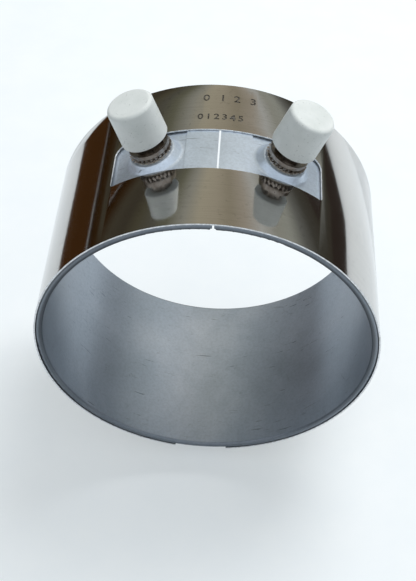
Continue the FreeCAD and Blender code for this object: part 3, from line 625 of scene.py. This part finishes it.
def make_screw(face, sign):
    """A clamp screw: slotted round head on the left, thread through both barrels."""
    rod = threaded_rod(f"screw_{face}", SCREW_RADIUS, SCREW_PITCH, SCREW_LENGTH)
    head = start_piece(
        "screw_head", bpy.ops.mesh.primitive_cylinder_add, vertices=48, radius=SCREW_HEAD_RADIUS,
        depth=SCREW_HEAD_HEIGHT, location=(0, 0, -SCREW_HEAD_HEIGHT / 2),
    )
    apply_place(head)
    edit(head, "FACE")
    pick(head, "polygons", lambda p: p.normal.z < -0.9)
    bpy.ops.mesh.bevel(offset=1.1 * MM, segments=6, affect="EDGES")
    done()
    slot = start_piece(
        "slot_cutter", bpy.ops.mesh.primitive_cube_add, size=1,
        location=(0, 0, -SCREW_HEAD_HEIGHT + SCREW_SLOT_DEPTH - SCREW_SLOT[2] / 2),
    )
    slot.scale = SCREW_SLOT
    apply_place(slot)
    cut_away(head, slot)
    screw = join(rod, head)
    seat = Matrix.Translation((-SCREW_SIDE, sign * SCREW_ROW, -SCREW_DEPTH))
    apply_place(screw, seat @ Matrix.Rotation(math.pi / 2, 4, "Y"))
    smooth(screw, 40)
    finish_piece(screw, ZINC, "zinc_steel", f"screw_{face}", f"clamp_screw_{face}")


make_strap()
for side, sign in zip(SIDES, (-1, 1)):
    make_stud(side, sign)
for face, sign in zip(FACES, (-1, 1)):
    make_screw(face, sign)


# ---------------------------------------------------------------- floor, light and camera

FLOOR_REACH = 3.0
FLOOR_GLOW = 0.42
CARD_LENGTH = 6.0


def floor_finish():
    """A pale, faintly mottled table top."""
    finish, tree, shader, place = start_finish("floor_finish", (0.86, 0.9, 0.92), 0.0, 0.55)
    mottle = noise(tree, place, 35, 5, 0.6)
    base = ramp(tree, mottle, (0.35, (0.84, 0.885, 0.91)), (0.65, (0.88, 0.915, 0.93)))
    tree.links.new(base, shader.inputs["Base Color"])
    glow = tree.nodes.new("ShaderNodeEmission")
    glow.inputs["Color"].default_value = (0.93, 0.985, 1.0, 1)
    ray = tree.nodes.new("ShaderNodeLightPath")
    share = measure(tree, ray.outputs["Is Camera Ray"], 0, 1, 0, FLOOR_GLOW)
    mixed = tree.nodes.new("ShaderNodeMixShader")
    tree.links.new(share, mixed.inputs[0])
    tree.links.new(shader.outputs[0], mixed.inputs[1])
    tree.links.new(glow.outputs[0], mixed.inputs[2])
    tree.links.new(mixed.outputs[0], tree.nodes["Material Output"].inputs["Surface"])
    return finish


def lay_floor():
    """The table top under the lowest point of the part."""
    clear_selection()
    bpy.ops.mesh.primitive_plane_add(size=2 * FLOOR_REACH, location=(0, 0, cad_low.z))
    floor = bpy.context.object
    floor.name = "floor"
    floor.data.materials.append(floor_finish())


def stand_card(name, across, height, colour):
    """A screen beside the part that only mirrors can see."""
    clear_selection()
    bpy.ops.mesh.primitive_plane_add(size=1)
    card = bpy.context.object
    card.name = name
    card.matrix_world = (
        Matrix.Translation((across, 0, cad_low.z + height / 2))
        @ Matrix.Rotation(math.pi / 2, 4, "Y")
        @ Matrix.Diagonal((height, CARD_LENGTH, 1, 1))
    )
    finish = bpy.data.materials.new(name + "_finish")
    finish.use_nodes = True
    tree = finish.node_tree
    glow = tree.nodes.new("ShaderNodeEmission")
    glow.inputs["Color"].default_value = (*colour, 1)
    tree.links.new(glow.outputs[0], tree.nodes["Material Output"].inputs["Surface"])
    card.data.materials.append(finish)
    for ray in ("camera", "diffuse", "transmission", "volume_scatter", "shadow"):
        setattr(card, "visible_" + ray, False)


def soft_lamp(name, place, width, power, colour=(1, 1, 1)):
    """A square soft box aimed at the middle of the part."""
    data = bpy.data.lights.new(name, "AREA")
    data.size = width
    data.energy = power
    data.color = colour
    lamp = bpy.data.objects.new(name, data)
    bpy.context.scene.collection.objects.link(lamp)
    lamp.location = place
    lamp.rotation_euler = (-Vector(place)).to_track_quat("-Z", "Y").to_euler()
    lamp.visible_glossy = False


# Mirrors show the walls behind and this pale colour in front, changing over between two
# slopes along the axis.
NEAR_STARTS = (0.25, -0.15)
NEAR_COLOUR = (0.75, 0.8, 0.86)


def room_light():
    """White behind, soft daylight on the part, and a plain room for mirrors to show."""
    world = bpy.data.worlds.new("room")
    bpy.context.scene.world = world
    world.use_nodes = True
    tree = world.node_tree
    tree.nodes.clear()
    direction = tree.nodes.new("ShaderNodeTexCoord").outputs["Generated"]
    parts = tree.nodes.new("ShaderNodeSeparateXYZ")
    tree.links.new(direction, parts.inputs[0])
    turn = combine(tree, "ARCTAN2", parts.outputs["X"], parts.outputs["Z"])
    walls = ramp(
        tree,
        measure(tree, turn, -math.pi, math.pi, 0, 1),
        (0.17, (0.062, 0.026, 0.008)),
        (0.2, (0.064, 0.03, 0.0125)),
        (0.228, (0.007, 0.0025, 0.0006)),
        (0.258, (0.04, 0.018, 0.0045)),
        (0.289, (0.074, 0.064, 0.044)),
        (0.319, (0.062, 0.0525, 0.037)),
        (0.349, (0.1, 0.091, 0.059)),
        (0.379, (0.117, 0.113, 0.091)),
        (0.409, (0.171, 0.171, 0.12)),
        (0.44, (0.37, 0.37, 0.325)),
        (0.47, (0.52, 0.48, 0.37)),
        (0.5, (0.48, 0.435, 0.338)),
        (0.53, (0.384, 0.344, 0.26)),
        (0.56, (0.473, 0.427, 0.357)),
        (0.59, (0.58, 0.59, 0.57)),
        (0.62, (0.4, 0.405, 0.357)),
        (0.651, (0.405, 0.42, 0.378)),
        (0.681, (0.176, 0.18, 0.167)),
        (0.711, (0.074, 0.0715, 0.059)),
        (0.742, (0.057, 0.05, 0.0385)),
        (0.772, (0.027, 0.0167, 0.019)),
    )
    near = measure(tree, parts.outputs["Y"], *NEAR_STARTS, 0, 1)
    mirrored = blend(tree, "MIX", near, walls, NEAR_COLOUR)
    ray = tree.nodes.new("ShaderNodeLightPath")
    seen = blend(tree, "MIX", ray.outputs["Is Glossy Ray"], (0.46, 0.49, 0.52), mirrored)
    seen = blend(tree, "MIX", ray.outputs["Is Camera Ray"], seen, (1, 1, 1))
    back = tree.nodes.new("ShaderNodeBackground")
    out = tree.nodes.new("ShaderNodeOutputWorld")
    tree.links.new(seen, back.inputs["Color"])
    tree.links.new(back.outputs[0], out.inputs["Surface"])


CAMERA_PLACE = Vector((3.35, -314.29, 330.81)) * MM
CAMERA_RIGHT = Vector((0.9978, 0.0551, 0.0379))
CAMERA_BACK = Vector((0.0096, -0.6786, 0.7345))
CAMERA_SENSOR = 36
CAMERA_LENS = 67.7


def set_camera():
    """The camera, above and in front of the part."""
    data = bpy.data.cameras.new("camera")
    data.sensor_width = CAMERA_SENSOR
    data.lens = CAMERA_LENS
    camera = bpy.data.objects.new("camera", data)
    bpy.context.scene.collection.objects.link(camera)
    right = CAMERA_RIGHT.normalized()
    back = CAMERA_BACK.normalized()
    up = back.cross(right).normalized()
    right = up.cross(back)
    turn = Matrix((right, up, back)).transposed().to_4x4()
    camera.matrix_world = Matrix.Translation(CAMERA_PLACE) @ turn
    bpy.context.scene.camera = camera


lay_floor()
stand_card("left_card", -0.24, 0.115, (0.062, 0.026, 0.008))
stand_card("right_card", 0.58, 0.15, (0.04, 0.03, 0.025))
soft_lamp("key_lamp", (0.3, 0.45, 0.9), 0.6, 9.0)
soft_lamp("fill_lamp", (-0.3, -0.7, 0.9), 0.8, 1.0)
room_light()
set_camera()
bpy.context.scene.view_settings.view_transform = "Standard"
